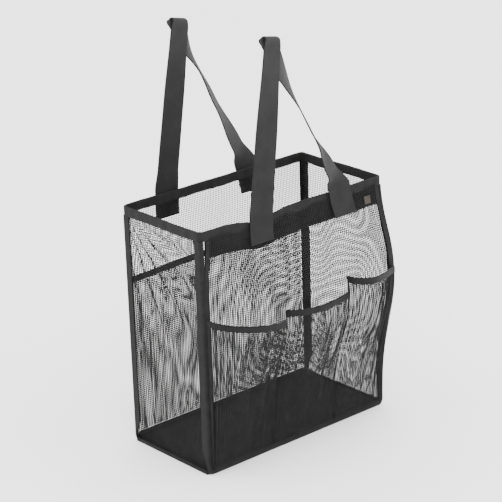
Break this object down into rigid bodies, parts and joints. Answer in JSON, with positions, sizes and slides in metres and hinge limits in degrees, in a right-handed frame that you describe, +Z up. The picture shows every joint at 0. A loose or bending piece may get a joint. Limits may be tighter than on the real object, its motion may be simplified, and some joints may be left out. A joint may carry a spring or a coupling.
{
  "type": "mesh shower caddy",
  "caption": "Open-topped mesh tote for shower bottles, with taped seams, a solid base, outside pockets on front and back, and webbing handles that swing over the rim.",
  "frame": {"origin": "on the ground under the middle of the flat base, with the bag standing up", "axes": "+X along the bag's width, -Y towards the front with the three pockets, +Z up towards the handles"},
  "size_m": [0.2662, 0.2176, 0.4736],
  "materials": {
    "net": "open black polyester net, square holes about 2 mm apart, matte",
    "binding_tape": "black grosgrain binding tape, fine crosswise rib, matte",
    "webbing": "black polypropylene webbing, fine rib, slight sheen",
    "hem_band": "several layers of black net, nearly opaque",
    "base_fabric": "plain black woven coated fabric",
    "label": "small blank woven label, grey-brown"
  },
  "bodies": {
    "bag": {"front_mesh_panel": "net", "back_mesh_panel": "net", "left_mesh_panel": "net", "right_mesh_panel": "net", "base_panel": "base_fabric", "front_rim_binding": "binding_tape", "back_rim_binding": "binding_tape", "left_rim_binding": "binding_tape", "right_rim_binding": "binding_tape", "front_seam_binding": "binding_tape", "back_seam_binding": "binding_tape", "left_base_seam_binding": "binding_tape", "right_base_seam_binding": "binding_tape", "front_hem_band": "hem_band", "left_front_edge_tape": "binding_tape", "right_front_edge_tape": "binding_tape", "left_front_pocket": "net", "left_front_pocket_binding": "binding_tape", "middle_front_pocket": "net", "middle_front_pocket_binding": "binding_tape", "right_front_pocket": "net", "right_front_pocket_binding": "binding_tape", "back_pocket": "net", "back_pocket_binding": "binding_tape", "blank_label": "label", "front_handle_left_end": "webbing", "front_handle_right_end": "webbing", "back_handle_left_end": "webbing", "back_handle_right_end": "webbing"},
    "front_handle": {"front_handle": "webbing"},
    "back_handle": {"back_handle": "webbing"}
  },
  "joints": [
    {"name": "front_handle_fold", "type": "hinge", "parent": "bag", "child": "front_handle", "pos_m": [0, -0.068, 0.2815], "axis": [1, 0, 0], "range_deg": [-16, 130]},
    {"name": "back_handle_fold", "type": "hinge", "parent": "bag", "child": "back_handle", "pos_m": [0, 0.068, 0.2815], "axis": [1, 0, 0], "range_deg": [-130, 16]}
  ]
}
